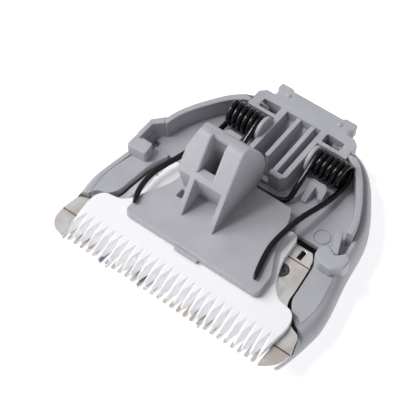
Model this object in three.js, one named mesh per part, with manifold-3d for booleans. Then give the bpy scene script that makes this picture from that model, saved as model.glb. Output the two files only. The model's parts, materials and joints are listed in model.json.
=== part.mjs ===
// The detachable blade head of an electric pet clipper: a smooth outer cover with an inner frame set into
// it, a steel comb blade screwed to the cover, a ceramic cutter on a plastic carrier with a drive fork, and
// a double torsion spring that holds the cutter down. Millimetres, +Z up, lying with its inner side up:
// teeth towards -Y, tongue towards +Y. While it is drawn, y = 0 is the line of the steel tooth tips and
// z = 0 is the steel's upper face; the last group moves the whole head so that its origin is the middle of
// its underside.
import * as THREE from "three";
import { mergeVertices } from "three/addons/utils/BufferGeometryUtils.js";
import Module from "manifold-3d";

const wasm = await Module();
wasm.setup();

// ---- driving dimensions -------------------------------------------------------------------------
const setGap = 0.12; // round the inner frame, where it is set into the cover
const clearance = 0.35; // beside pieces that are dropped in
const slideGap = 0.2; // under the ceramic cutter, where it slides on the steel
const layerGap = 0.1; // between pieces that are pressed together
const slideTravel = 1.25; // of the ceramic cutter to each side

// comb blade (steel)
const combTeeth = 29;
const combPitch = 1.25;
const combToothWidth = 0.62;
const combGapDepth = 3.7;
const combThickness = 0.9;
const combStep = 0.12; // how far the ground front face stands below the rear
const combStepY = 4.2;
const combLobeReach = 4.5; // from the last tooth's centre to the blade's side
const combRootHalfWidth = 15.9;
const combRearHalfWidth = 14.2;
const combRearY = 20.8;
const screwX = 12;
const screwY = 15.5;
const screwHeadRadius = 1.15;
const screwHeadHeight = 0.43;
const screwShankRadius = 0.6;
const screwLength = 2.4;

// ceramic cutter
const cutterGaps = 26;
const cutterPitch = 1.4;
const cutterTipY = 0.75;
const cutterRootY = 2.3;
const cutterThickness = 1.3;
const cutterLobeReach = 1.4; // from the last gap's centre to the cutter's side
const cutterWaistHalfWidth = 11.7;
const cutterRearY = 21.2;

// carrier with its drive fork
const carrierThickness = 1.4;
const carrierFrontY = 8.1;
const carrierRearY = 24;
const carrierHalfWidth = 12.6;
const carrierRearHalfWidth = 8.2;
const pegRadius = 1;
const pegX = 8.6;
const pegY = 12.5;
const ledgeHeight = 0.6;
const forkLeftX = -8.4;
const forkRightX = 1;
const forkFrontY = 16; // the front edge of its sill
const forkHeight = 12; // above the carrier plate
const forkSillHeight = 5.8;
const forkSlotLeftX = -4.9;
const forkSlotWidth = 2.8;
const forkSlotRearY = 22;
const gussetThickness = 0.9;
const gussetReach = 3.5; // in front of the sill

// outer cover
const coverHalfWidth = 22.3;
const coverFrontY = 4.9;
const coverRearY = 40.8;
const coverDepth = 6; // below the steel's upper face
const coverLip = 1.9; // the width of the band round the frame
const coverFloor = 1.4;
const coverRimHeight = 2.1; // at the back, above the steel's upper face
const coverFrontRimHeight = 0.9;
const coverRoll = 4.4; // how far the sides roll under
const coverLipRound = 1.3; // how far the lip rounds over inwards

// inner frame
const floorTop = 0.5;
const floorThickness = 1.1;
const rimHeight = 4;
const rimWall = 1.1;
const rimFrontY = 21;
const wingTop = 0.95;
const wingFrontY = 8.1;
const deckHalfWidth = 9.6;
const deckReach = 4.5; // from the cover's rear edge forward to the deck's front
const deckThickness = 2.2;
const tongueHalfWidth = 7;
const shoulderInset = 0.3; // in front of the cover's rear edge
const tongueReach = 2; // behind the cover's rear edge
const earReach = 0.45;
const earWidth = 2.2;
const windowInnerX = 4.5;
const windowWidth = 3.3;
const windowInset = 0.7; // behind the deck's front
const windowLength = 1.8;
const pocketHalfWidth = 4.2;
const pocketWall = 0.9;
const pocketReach = 6.4; // in front of the coils' axis
const pocketDeckReach = 0.5; // behind the deck's front
const pocketTopReach = 2.4; // behind the deck's front, of the shallow part that is let into it
const pocketFloor = -2.6;
const pocketRibThickness = 0.8;
const pocketRibSpacing = 2.7;
const pocketRibReach = 3.6; // in front of the coils' axis, of the left rib
const hookFrontY = 18.2;
const hookLength = 2.9;
const hookWidth = 4.4;
const hookHeight = 3.7;
const hookWebThickness = 1.1;
const stopPostX = 6.9; // from the spring's middle
const stopPostWidth = 2.5;
const stopPostReach = 6.8; // in front of the coils' axis
const stopPostHeight = 3;

// double torsion spring
const wireRadius = 0.47;
const coilRadius = 1.9; // to the middle of the wire
const coilTurns = 4.5;
const coilPitch = 1.15;
const coilFloorGap = 0.58; // under the coils
const coilRearGap = 0.73; // between the coils and the deck
const coilInnerX = 5.8; // from the spring's middle
const springMiddleX = 0.4;
const rightLegX = [10.6, 9.9, 9.4, 9.1, 9.1, 9.7, 10.5];
const leftLegX = [11.1, 11.6, 12.3, 13.1, 13.6, 13.4, 12.4];
const arborRadius = 1.05;
const seatDiscThickness = 0.8;
const seatDiscMargin = 0.4; // past the middle of the wire

// ---- worked out from them -----------------------------------------------------------------------
const combHalfWidth = ((combTeeth - 1) / 2) * combPitch + combLobeReach;
const cutterHalfWidth = ((cutterGaps - 1) / 2) * cutterPitch + cutterLobeReach;
const cutterBottom = slideGap;
const cutterTop = cutterBottom + cutterThickness;
const plateBottom = cutterTop + layerGap;
const plateTop = plateBottom + carrierThickness;
const coverBottom = -coverDepth;
const seatTop = -combThickness - layerGap; // what the comb blade lies on
const floorBottom = floorTop - floorThickness;
const frameFrontY = Math.max(combRearY, cutterRearY) + clearance;
const deckFrontY = coverRearY - deckReach;
const deckBottom = rimHeight - deckThickness;
const tongueRearY = coverRearY + tongueReach;
const overallRearY = tongueRearY + earReach;
const coilY = deckFrontY - coilRearGap - coilRadius - wireRadius;
const coilZ = floorTop + coilFloorGap + wireRadius + coilRadius;
const pocketFrontY = coilY - pocketReach;
const pocketRearY = deckFrontY + pocketDeckReach;
const hookOuterX = coverHalfWidth - coverLip;
const hookInnerX = hookOuterX - hookWidth;
const forkTop = plateTop + forkHeight;
const sillZ = plateTop + forkSillHeight;
const farAway = 60;

// ---- helpers ------------------------------------------------------------------------------------
// A geometry as a manifold-3d solid.
function solid(geometry) {
  const bare = geometry.clone();
  bare.deleteAttribute("normal");
  bare.deleteAttribute("uv");
  const merged = mergeVertices(bare, 1e-4);
  return new wasm.Manifold(
    new wasm.Mesh({
      numProp: 3,
      vertProperties: merged.attributes.position.array,
      triVerts: new Uint32Array(merged.index.array),
    }),
  );
}

// A manifold-3d solid as a named mesh.
function namedMesh(name, body, material) {
  const { numVert, numProp, vertProperties, triVerts } = body.getMesh();
  const positions = new Float32Array(numVert * 3);
  for (let i = 0; i < numVert; i += 1) {
    positions.set(vertProperties.subarray(i * numProp, i * numProp + 3), i * 3);
  }
  const geometry = new THREE.BufferGeometry();
  geometry.setAttribute("position", new THREE.BufferAttribute(positions, 3));
  geometry.setIndex(new THREE.BufferAttribute(triVerts, 1));
  geometry.computeVertexNormals();
  const mesh = new THREE.Mesh(geometry, material);
  mesh.name = name;
  return mesh;
}

const union = (...bodies) => bodies.reduce((all, body) => all.add(body));
const without = (body, ...cutters) => cutters.reduce((rest, cutter) => rest.subtract(cutter), body);
const vectors = (points) => points.map(([x, y]) => new THREE.Vector2(x, y));

// A block between two corners.
function block(x0, x1, y0, y1, z0, z1) {
  const box = new THREE.BoxGeometry(x1 - x0, y1 - y0, z1 - z0);
  box.translate((x0 + x1) / 2, (y0 + y1) / 2, (z0 + z1) / 2);
  return solid(box);
}

// The same block on both sides of the middle plane.
function blockPair(x0, x1, y0, y1, z0, z1) {
  return union(block(x0, x1, y0, y1, z0, z1), block(-x1, -x0, y0, y1, z0, z1));
}

// A plan outline raised from z0 to z1.
function slab(points, z0, z1) {
  const shape = new THREE.Shape(vectors(points));
  const raised = new THREE.ExtrudeGeometry(shape, { depth: z1 - z0, bevelEnabled: false });
  raised.translate(0, 0, z0);
  return solid(raised);
}

// A side outline of (y, z) points, given thickness from x0 to x1.
function sidePlate(points, x0, x1) {
  const shape = new THREE.Shape(vectors(points));
  const plate = new THREE.ExtrudeGeometry(shape, { depth: x1 - x0, bevelEnabled: false });
  plate.applyMatrix4(new THREE.Matrix4().set(0, 0, 1, x0, 1, 0, 0, 0, 0, 1, 0, 0, 0, 0, 0, 1));
  return solid(plate);
}

// A round bar along X.
function crossBar(radius, x0, x1, y, z) {
  const bar = new THREE.CylinderGeometry(radius, radius, x1 - x0, 24);
  bar.rotateZ(-Math.PI / 2);
  bar.translate((x0 + x1) / 2, y, z);
  return solid(bar);
}

// A round peg or hole along Z.
function post(radius, x, y, z0, z1) {
  const peg = new THREE.CylinderGeometry(radius, radius, z1 - z0, 20);
  peg.rotateX(Math.PI / 2);
  peg.translate(x, y, (z0 + z1) / 2);
  return solid(peg);
}

// The right half of an outline, from its front middle round to its back middle, with its mirror image.
function mirrored(rightHalf) {
  const offMiddle = rightHalf.filter(([x]) => x !== 0);
  const left = offMiddle.map(([x, y]) => [-x, y]).reverse();
  return [...offMiddle, ...left];
}

// Points of an arc about (cx, cy), angles in degrees from the first axis.
function arc(cx, cy, radius, from, to, steps) {
  return Array.from({ length: steps + 1 }, (_, i) => {
    const angle = THREE.MathUtils.degToRad(from + ((to - from) * i) / steps);
    return [cx + radius * Math.cos(angle), cy + radius * Math.sin(angle)];
  });
}

// Points of a smooth curve through a few places.
function smooth(places, steps) {
  return new THREE.SplineCurve(vectors(places)).getPoints(steps).map(({ x, y }) => [x, y]);
}

// A closed skin through stacked outlines [points, z] that all have the same number of points.
function loft(rings) {
  const count = rings[0][0].length;
  const positions = rings.flatMap(([points, z]) => points.flatMap(([x, y]) => [x, y, z]));
  const faces = [];
  for (let level = 0; level < rings.length - 1; level += 1) {
    for (let i = 0; i < count; i += 1) {
      const a = level * count + i;
      const b = level * count + ((i + 1) % count);
      faces.push(a, b, b + count, a, b + count, a + count);
    }
  }
  const cap = THREE.ShapeUtils.triangulateShape(vectors(rings[0][0]), []);
  const top = (rings.length - 1) * count;
  cap.forEach(([a, b, c]) => faces.push(a, c, b, top + a, top + b, top + c));
  const geometry = new THREE.BufferGeometry();
  geometry.setAttribute("position", new THREE.BufferAttribute(new Float32Array(positions), 3));
  geometry.setIndex(faces);
  return solid(geometry);
}

// ---- materials ----------------------------------------------------------------------------------
function finish(color, roughness, metalness) {
  return new THREE.MeshStandardMaterial({ color, roughness, metalness });
}

const coverMaterial = finish(0xa6a6ad, 0.45, 0);
const frameMaterial = finish(0xacacb4, 0.45, 0);
const carrierMaterial = finish(0xb2b2ba, 0.45, 0);
const steelMaterial = finish(0xc9c4bf, 0.25, 1);
const ceramicMaterial = finish(0xf7f7fb, 0.3, 0);
const springMaterial = finish(0x101014, 0.2, 0.6);
const screwMaterial = finish(0x4a4c52, 0.35, 1);

// ---- comb blade ---------------------------------------------------------------------------------
// The right side of the comb blade, from the last tooth round its broad lobe to the rear edge.
function combSide(margin) {
  const rootX = combRootHalfWidth + margin;
  return [
    ...smooth(
      [
        [combHalfWidth - 3.4, -margin],
        [combHalfWidth - 1.8 + margin * 0.4, 0.55 - margin],
        [combHalfWidth - 0.5 + margin * 0.8, 2.1 - margin * 0.5],
        [combHalfWidth + margin, 4.3],
        [combHalfWidth - 0.5 + margin, 6.7 + margin * 0.3],
        [combHalfWidth - 2 + margin * 0.7, 7.9 + margin * 0.7],
        [rootX + 1.6, 9 + margin * 0.8],
        [rootX + 0.2, 11 + margin * 0.5],
        [rootX, 13.5],
      ],
      24,
    ),
    [combRearHalfWidth + 1.2 + margin, combRearY - 2.8],
    [combRearHalfWidth + 0.7 + margin, combRearY - 1],
    [combRearHalfWidth + margin * 0.7, combRearY + margin],
  ];
}

// Round-tipped teeth along the front, a lobe at each end, and a narrower root that lies in the cover.
function combBlade() {
  const teeth = [];
  const halfGap = (combPitch - combToothWidth) / 2;
  const tip = combToothWidth / 2;
  for (let gap = 0; gap <= combTeeth; gap += 1) {
    const x = (gap - combTeeth / 2) * combPitch;
    teeth.push([x - halfGap, tip], [x - halfGap, combGapDepth - halfGap]);
    teeth.push([x, combGapDepth]);
    teeth.push([x + halfGap, combGapDepth - halfGap], [x + halfGap, tip]);
    if (gap < combTeeth) teeth.push([x + halfGap + tip * 0.55, 0], [x + halfGap + tip * 1.45, 0]);
  }
  const side = combSide(0);
  const left = side.map(([x, y]) => [-x, y]).reverse();
  const plate = slab([...teeth, ...side, ...left], -combThickness, 0);
  const ground = block(-farAway, farAway, -1, combStepY, -combStep, 1);
  const holes = [-1, 1].map((s) => post(screwShankRadius + 0.15, s * screwX, screwY, -2, 1));
  const seatRadius = screwHeadRadius + layerGap;
  const seats = [-1, 1].map((s) => post(seatRadius, s * screwX, screwY, -screwHeadHeight - 0.02, 1));
  const slotX = combRearHalfWidth - 1.6;
  const slots = blockPair(slotX, slotX + 0.8, combRearY - 2.4, combRearY - 0.4, -2, 1);
  return namedMesh("comb_blade", without(plate, ground, ...holes, ...seats, slots), steelMaterial);
}

// A low-head screw with a cross recess: its head is let into the blade and its shank is in the cover's boss.
function bladeScrew(name, side) {
  const headBottom = -screwHeadHeight;
  const head = post(screwHeadRadius, 0, 0, headBottom, 0);
  const shank = post(screwShankRadius, 0, 0, seatTop - screwLength, headBottom + 0.1);
  const [slotLength, slotWidth, slotDepth] = [0.7, 0.15, 0.25];
  const recess = union(
    block(-slotLength, slotLength, -slotWidth, slotWidth, -slotDepth, 1),
    block(-slotWidth, slotWidth, -slotLength, slotLength, -slotDepth, 1),
  );
  const mesh = namedMesh(name, without(union(head, shank), recess), screwMaterial);
  mesh.position.set(side * screwX, screwY, 0);
  return mesh;
}

// ---- ceramic cutter -----------------------------------------------------------------------------
// The right side of the cutter, from its last gap round its lobe and waist to the tab beside the carrier.
function cutterSide(margin) {
  const lobeX = cutterHalfWidth + margin;
  const waistX = cutterWaistHalfWidth + margin;
  const side = smooth(
    [
      [lobeX - 0.8, cutterTipY],
      [lobeX - 0.3, 4.2],
      [lobeX, 7],
      [lobeX - 0.3, 8.6],
      [lobeX - 1.3, 9.7],
      [waistX + 3.2, 10.4],
      [waistX + 1.4, 12.6],
      [waistX + 0.1, 16],
      [waistX - 0.2, 18.5],
    ],
    22,
  );
  const tab = smooth(
    [
      [waistX - 0.3, cutterRearY - 1],
      [waistX - 0.9, cutterRearY],
      [waistX - 2.2, cutterRearY],
      [waistX - 2.9, cutterRearY - 1.2],
      [waistX - 3.1, cutterRearY - 3.2],
    ],
    8,
  );
  return [...side, ...tab];
}

// The space above the steel that the cutter sweeps as it slides.
function cutterSweep() {
  const swept = cutterSide(slideTravel + clearance).filter(([x]) => x > cutterWaistHalfWidth + slideTravel);
  return slab(mirrored(swept.map(([x, y]) => [x, y + clearance * (y > cutterTipY)])), 0, farAway);
}

// Pointed teeth along a straight front, a rounded lobe at each end, a waist, and two tabs beside the carrier.
function ceramicCutter() {
  const front = [];
  const mouth = 0.5;
  const root = 0.1;
  for (let gap = 0; gap < cutterGaps; gap += 1) {
    const x = (gap - (cutterGaps - 1) / 2) * cutterPitch;
    front.push([x - mouth, cutterTipY], [x - root, cutterRootY]);
    front.push([x + root, cutterRootY], [x + mouth, cutterTipY]);
  }
  const right = cutterSide(0);
  const left = right.map(([x, y]) => [-x, y]).reverse();
  const plate = slab([...front, ...right, ...left], cutterBottom, cutterTop);
  const holes = [-1, 1].map((s) => post(pegRadius + layerGap, s * pegX, pegY, 0, 3));
  return namedMesh("ceramic_cutter", without(plate, ...holes), ceramicMaterial);
}

// ---- carrier ------------------------------------------------------------------------------------
// The fork's side outline: a sill, a steep front slope, a round top and a back that bulges over the rear.
function forkProfile() {
  const crownY = forkFrontY + 4.8;
  const crownRadius = 1.7;
  return [
    [forkFrontY + 1.6, plateBottom + 0.3],
    [carrierRearY - 0.4, plateBottom + 0.3],
    [carrierRearY, plateTop - 0.6],
    [carrierRearY + 1.6, plateTop + 0.5],
    [carrierRearY + 2.3, plateTop + 2.2],
    [carrierRearY + 2.2, plateTop + 4.4],
    [carrierRearY + 1.2, plateTop + 7.2],
    ...arc(crownY, forkTop - crownRadius, crownRadius, 35, 150, 6),
    [forkFrontY, sillZ],
  ];
}

// The fork stands to one side of the plate. Its slot is open to the front and the top, closed at the back.
function driveFork() {
  const body = sidePlate(forkProfile(), forkLeftX, forkRightX);
  const slotRightX = forkSlotLeftX + forkSlotWidth;
  const slot = block(forkSlotLeftX, slotRightX, 0, forkSlotRearY, sillZ + 0.9, farAway);
  const well = block(forkSlotLeftX, slotRightX, forkFrontY + 1.8, forkSlotRearY, plateTop + 2, farAway);
  const flank = [
    [forkLeftX - 1, plateTop + 2.5],
    [forkLeftX, plateTop + 2.5],
    [forkLeftX + 0.6, forkTop - 3.2],
    [forkLeftX + 2.2, forkTop - 0.4],
    [forkLeftX + 2.6, farAway],
    [forkLeftX - 1, farAway],
  ];
  const flankShape = new THREE.Shape(vectors(flank));
  const flankCut = new THREE.ExtrudeGeometry(flankShape, { depth: farAway, bevelEnabled: false });
  flankCut.rotateX(Math.PI / 2);
  flankCut.translate(0, farAway, 0);
  return without(body, slot, well, solid(flankCut));
}

// A triangular web from the plate's face up to the fork's sill.
function gusset(x0) {
  const rootY = forkFrontY + 1.7;
  const profile = [
    [forkFrontY - gussetReach, plateTop - 0.2],
    [rootY, plateTop - 0.2],
    [rootY, sillZ],
    [forkFrontY, sillZ],
    [forkFrontY - gussetReach, plateTop],
  ];
  return sidePlate(profile, x0, x0 + gussetThickness);
}

function carrier() {
  const w = carrierHalfWidth;
  const corner = 0.9;
  const outline = mirrored([
    ...arc(w - corner, carrierFrontY + corner, corner, -90, 0, 4),
    [w - 0.2, carrierFrontY + 4],
    [w - 2.2, carrierFrontY + 8.2],
    [carrierRearHalfWidth + 0.6, carrierRearY - 2],
    [carrierRearHalfWidth - 0.4, carrierRearY],
  ]);
  const plate = slab(outline, plateBottom, plateTop);
  const ledgeTop = plateBottom + ledgeHeight;
  const ledge = block(-2.6, 1.7, carrierFrontY - 0.5, carrierFrontY + 1, plateBottom, ledgeTop);
  const pegs = [-1, 1].map((s) => post(pegRadius, s * pegX, pegY, cutterBottom + 0.2, plateBottom + 0.2));
  const gussets = [gusset(forkRightX - gussetThickness), gusset(forkSlotLeftX - gussetThickness)];
  const mouldSlot = block(-7.9, -6.9, carrierFrontY + 7, carrierFrontY + 8.6, 0, plateTop + 3);
  const body = without(union(plate, ledge, ...pegs, driveFork(), ...gussets), mouldSlot);
  return namedMesh("cutter_carrier", body, carrierMaterial);
}

// ---- outer cover --------------------------------------------------------------------------------
// The head's plan outline, drawn in towards its middle by a margin.
function headOutline(margin) {
  const w = coverHalfWidth;
  const middleY = (coverFrontY + coverRearY) / 2;
  const places = [
    [w - 4.7, coverFrontY],
    [w - 3.4, coverFrontY - 1],
    [w - 2, coverFrontY - 2],
    [w - 0.7, coverFrontY - 1.4],
    [w - 0.1, coverFrontY + 0.3],
    [w, coverFrontY + 3],
    [w - 0.5, coverFrontY + 8],
    [w - 1.6, coverFrontY + 15.5],
    [w - 3, coverRearY - 12.3],
    [w - 6.7, coverRearY - 5.4],
    [w - 9.7, coverRearY - 1.9],
    [w - 12.9, coverRearY - 0.3],
    [w - 15.3, coverRearY],
  ];
  const shrinkX = 1 - margin / w;
  const shrinkY = 1 - margin / (coverRearY - middleY);
  return mirrored(smooth(places, 36).map(([x, y]) => [x * shrinkX, middleY + (y - middleY) * shrinkY]));
}

// The cover's outside: flat underneath, rolling up to its widest line and over again to the lip.
function coverOutside() {
  const rings = [];
  const widestZ = -1;
  const quarter = (steps, each) => {
    for (let i = 0; i <= steps; i += 1) each(((i / steps) * Math.PI) / 2);
  };
  quarter(6, (angle) => {
    const z = coverBottom + (widestZ - coverBottom) * (1 - Math.cos(angle));
    rings.push([headOutline(coverRoll * (1 - Math.sin(angle))), z]);
  });
  quarter(4, (angle) => {
    const z = widestZ + (coverRimHeight - widestZ) * Math.sin(angle);
    if (angle > 0) rings.push([headOutline(coverLipRound * (1 - Math.cos(angle))), z]);
  });
  return loft(rings);
}

// What is taken off above the sides so that they drop from the back to the front.
function rimSlope() {
  const slope = [
    [-farAway, coverFrontRimHeight],
    [hookFrontY - 4, coverFrontRimHeight],
    [hookFrontY + hookLength + 5, coverRimHeight + 0.1],
    [farAway, coverRimHeight + 0.1],
    [farAway, farAway],
    [-farAway, farAway],
  ];
  return sidePlate(slope, -farAway, farAway);
}

function outerCover() {
  const floorZ = coverBottom + coverFloor;
  const hollow = loft([
    [headOutline(coverRoll + 0.4), floorZ],
    [headOutline(coverLip + 0.9), floorZ + 1],
    [headOutline(coverLip), floorZ + 2.6],
    [headOutline(coverLip), farAway],
  ]);
  const bosses = [-1, 1].map((s) => post(2.3, s * screwX, screwY, floorZ - 0.5, seatTop));
  const ribX = combRootHalfWidth;
  const ribBottom = floorZ - 0.5;
  const rest = blockPair(ribX - 2, ribX - 0.9, coverFrontY + 1, screwY + 3, ribBottom, seatTop);
  const crossRib = block(-ribX, ribX, coverFrontY + 4.4, coverFrontY + 5.6, ribBottom, seatTop);
  const bladeSpace = slab(mirrored(combSide(clearance).filter(([, y]) => y > 1)), seatTop, farAway);
  const mouth = block(-farAway, farAway, -1, wingFrontY - 1, seatTop, farAway);
  const boreBottom = seatTop - screwLength - 0.2;
  const bores = [-1, 1].map((s) => post(screwShankRadius + 0.1, s * screwX, screwY, boreBottom, 1));
  const notchSide = deckHalfWidth + clearance;
  const tongueNotch = block(-notchSide, notchSide, deckFrontY, farAway, deckBottom - clearance, farAway);
  const shell = union(without(coverOutside(), hollow), ...bosses, rest, crossRib);
  const cut = without(shell, rimSlope(), bladeSpace, cutterSweep(), mouth, tongueNotch, ...bores);
  return namedMesh("outer_cover", cut, coverMaterial);
}

// ---- inner frame --------------------------------------------------------------------------------
// The floor of the tray and the two wings that reach forward beside the comb blade.
function trayFloor() {
  const inside = headOutline(coverLip + setGap);
  const inFront = block(-farAway, farAway, -1, frameFrontY, -farAway, farAway);
  const tray = without(slab(inside, floorBottom, floorTop), inFront);
  const rearX = combRearHalfWidth;
  const wingSpace = blockPair(rearX - 2, farAway, wingFrontY, frameFrontY + 1.5, -farAway, farAway);
  const bladeSide = combSide(clearance + 0.2).filter(([, y]) => y > 1);
  const bladeSpace = slab(mirrored(bladeSide), -farAway, farAway);
  const between = block(-rearX, rearX, -1, farAway, -farAway, farAway);
  const wings = slab(inside, floorBottom, wingTop).intersect(wingSpace);
  return union(tray, without(wings, bladeSpace, cutterSweep(), between));
}

// The wall round the back of the tray, between the two hooks.
function trayRim() {
  const outside = headOutline(coverLip + setGap);
  const inside = headOutline(coverLip + setGap + rimWall);
  const ring = without(slab(outside, floorBottom, rimHeight), slab(inside, -farAway, farAway));
  return without(ring, block(-farAway, farAway, -1, rimFrontY, -farAway, farAway));
}

// The hook beside the blade: a round-nosed post at the cover's lip, and a web back to the rim.
function sideHook(side) {
  const middleY = hookFrontY + hookLength / 2;
  const rootZ = floorBottom + 0.2;
  const noseX = hookOuterX - hookLength / 2;
  const nose = post(hookLength / 2, noseX, middleY, rootZ, hookHeight);
  const arm = block(hookInnerX, noseX, hookFrontY, hookFrontY + hookLength, rootZ, hookHeight);
  const webX = (hookInnerX + hookOuterX) / 2 - 0.3;
  const web = block(webX, webX + hookWebThickness, middleY, rimFrontY + 3.5, rootZ, rimHeight);
  const outline = slab(headOutline(coverLip + setGap), -farAway, farAway);
  const lip = without(block(0, farAway, 0, farAway, -farAway, coverRimHeight), outline);
  const hook = without(union(nose, arm, web), lip);
  return side > 0 ? hook : hook.mirror([1, 0, 0]);
}

// The deck behind the coils with its two windows, and the tongue with its two ears.
function tongue() {
  const shoulderY = coverRearY - shoulderInset;
  const shoulder = [
    [deckHalfWidth, deckFrontY],
    [deckHalfWidth, shoulderY - 1],
    [deckHalfWidth - 1, shoulderY],
    [tongueHalfWidth, shoulderY],
    [tongueHalfWidth, tongueRearY - 1.4],
    [tongueHalfWidth + 0.4, tongueRearY - 0.6],
    [tongueHalfWidth + 0.3, overallRearY],
    [tongueHalfWidth + 0.3 - earWidth, overallRearY],
    [tongueHalfWidth - 0.1 - earWidth, tongueRearY],
  ];
  const plate = slab(mirrored(shoulder), deckBottom, rimHeight);
  const x1 = windowInnerX + windowWidth;
  const windowY = deckFrontY + windowInset;
  const windows = blockPair(windowInnerX, x1, windowY, windowY + windowLength, floorBottom, farAway);
  const dimples = [-1, 1].map((s) => post(0.45, s * 5, tongueRearY - 1.2, rimHeight - 0.2, farAway));
  const legRearY = deckFrontY + windowInset;
  const legs = block(-deckHalfWidth, deckHalfWidth, deckFrontY, legRearY, floorTop - 0.2, deckBottom + 0.2);
  return union(without(plate, windows, ...dimples), legs);
}

// The ribbed pocket in the middle of the tray, open above: its walls go down into the hollow of the cover.
function pocketOutside() {
  const w = pocketHalfWidth;
  return block(-w, w, pocketFrontY, pocketRearY + pocketWall, pocketFloor - pocketWall, rimHeight);
}

function pocketInside() {
  const w = pocketHalfWidth - pocketWall;
  const topRearY = deckFrontY + pocketTopReach;
  const leftRibFrontY = coilY - pocketRibReach;
  const bay = block(-w, w, pocketFrontY + pocketWall, pocketRearY, pocketFloor, farAway);
  const deckBay = block(-w, w, pocketRearY - 1, topRearY, deckBottom + 0.6, farAway);
  const notch = block(-w, pocketRibSpacing / 2, pocketFrontY - 1, leftRibFrontY, 1.2, farAway);
  const ribs = [-1, 1].map((s) => {
    const x0 = (s * pocketRibSpacing) / 2 + springMiddleX - pocketRibThickness / 2;
    const front = s < 0 ? leftRibFrontY : pocketFrontY;
    const [ribBottom, ribTop] = [pocketFloor - 0.1, rimHeight - 0.3];
    return block(x0, x0 + pocketRibThickness, front, pocketRearY + 1, ribBottom, ribTop);
  });
  return without(union(bay, deckBay, notch), ...ribs);
}

// A disc that closes the inner end of a coil, and the stub that the coil turns on.
function coilSeat(side) {
  const discX = coilInnerX - wireRadius - layerGap;
  const discBackX = discX - seatDiscThickness;
  const footZ = floorTop - 0.2;
  const [footSide, tieSide] = [1.6, 0.9];
  const disc = crossBar(coilRadius + seatDiscMargin, discBackX, discX, coilY, coilZ);
  const arbor = crossBar(arborRadius, discX - 0.2, discX + 3.6, coilY, coilZ);
  const foot = block(discBackX, discX, coilY - footSide, coilY + footSide, footZ, coilZ);
  const seat = union(disc, arbor, foot);
  const placed = (side > 0 ? seat : seat.mirror([1, 0, 0])).translate([springMiddleX, 0, 0]);
  const tieX = discX - 0.1 + side * springMiddleX;
  const tie = block(pocketHalfWidth - 0.5, tieX, coilY - tieSide, coilY + tieSide, footZ, coilZ);
  return union(placed, side > 0 ? tie : tie.mirror([1, 0, 0]));
}

// A low U-shaped post in front of each coil.
function stopPost(side) {
  const x1 = stopPostX + stopPostWidth;
  const frontY = coilY - stopPostReach;
  const rearY = coilY - coilRadius - wireRadius - clearance;
  const body = block(stopPostX, x1, frontY, rearY, floorTop - 0.2, stopPostHeight);
  const recess = [
    [stopPostX + 0.7, frontY + 0.4],
    [x1 - 0.6, rearY + 1],
    [stopPostX + 0.7, rearY + 1],
  ];
  const cut = without(body, slab(recess, floorTop, farAway));
  return (side > 0 ? cut : cut.mirror([1, 0, 0])).translate([springMiddleX, 0, 0]);
}

function innerFrame() {
  const tray = union(trayFloor(), trayRim(), sideHook(1), sideHook(-1), tongue(), pocketOutside());
  const fitted = union(tray, coilSeat(1), coilSeat(-1), stopPost(1), stopPost(-1));
  return namedMesh("inner_frame", without(fitted, pocketInside()), frameMaterial);
}

// ---- double torsion spring ----------------------------------------------------------------------
// One half of the wire, from the middle of the bridge in front of the pocket, up to the coil and out along
// the leg. The left leg bows outward round the fork, and the right leg leans in; legX holds how far out each
// bend stands.
function springHalf(legX) {
  const bridgeZ = floorTop + wireRadius + layerGap;
  const bridgeY = carrierRearY + 1;
  const legZ = plateTop + wireRadius + layerGap;
  const outerX = coilInnerX + coilTurns * coilPitch;
  const lead = [
    [0, bridgeY, bridgeZ],
    [2, bridgeY, bridgeZ],
    [pocketHalfWidth - 0.4, bridgeY + 0.1, bridgeZ],
    [coilInnerX - 0.3, bridgeY + 1, bridgeZ + 0.3],
    [coilInnerX, bridgeY + 2.8, bridgeZ + 1.7],
    [coilInnerX, coilY - 2.2, coilZ + coilRadius - 0.9],
  ];
  const turn = [];
  const steps = Math.round(coilTurns * 14);
  for (let i = 0; i <= steps; i += 1) {
    const angle = (i / steps) * coilTurns * 2 * Math.PI;
    const x = coilInnerX + (i / steps) * coilTurns * coilPitch;
    turn.push([x, coilY + coilRadius * Math.sin(angle), coilZ + coilRadius * Math.cos(angle)]);
  }
  const legYZ = [
    [carrierRearY + 3.2, legZ - 0.95],
    [carrierRearY - 0.4, legZ - 0.1],
    [carrierRearY - 3.2, legZ],
    [carrierRearY - 5.8, legZ],
    [carrierRearY - 8.4, legZ],
    [carrierRearY - 11.4, legZ],
    [carrierFrontY + 1.7, legZ],
  ];
  const leg = legYZ.map(([y, z], i) => [legX[i], y, z]);
  return [...lead, ...turn, [outerX - 0.1, coilY - 3, coilZ - coilRadius + 0.3], ...leg];
}

function torsionSpring() {
  const left = springHalf(leftLegX).slice(1).map(([x, y, z]) => [-x, y, z]).reverse();
  const bends = [...left, ...springHalf(rightLegX)];
  const points = bends.map(([x, y, z]) => new THREE.Vector3(x + springMiddleX, y, z));
  const section = new THREE.Shape(vectors(arc(0, 0, wireRadius, 0, 315, 7)));
  const path = new THREE.CatmullRomCurve3(points, false, "centripetal");
  path.arcLengthDivisions = 2000;
  const geometry = new THREE.ExtrudeGeometry(section, { steps: 250, extrudePath: path });
  return namedMesh("torsion_spring", solid(geometry), springMaterial);
}

// ---- the head -----------------------------------------------------------------------------------
const head = new THREE.Group();
head.add(outerCover());
head.add(innerFrame());
head.add(combBlade());
head.add(bladeScrew("blade_screw_left", -1));
head.add(bladeScrew("blade_screw_right", 1));
head.add(ceramicCutter());
head.add(carrier());
head.add(torsionSpring());
head.position.set(0, -overallRearY / 2, coverDepth);

const part = new THREE.Group();
part.add(head);

export default part;
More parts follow.
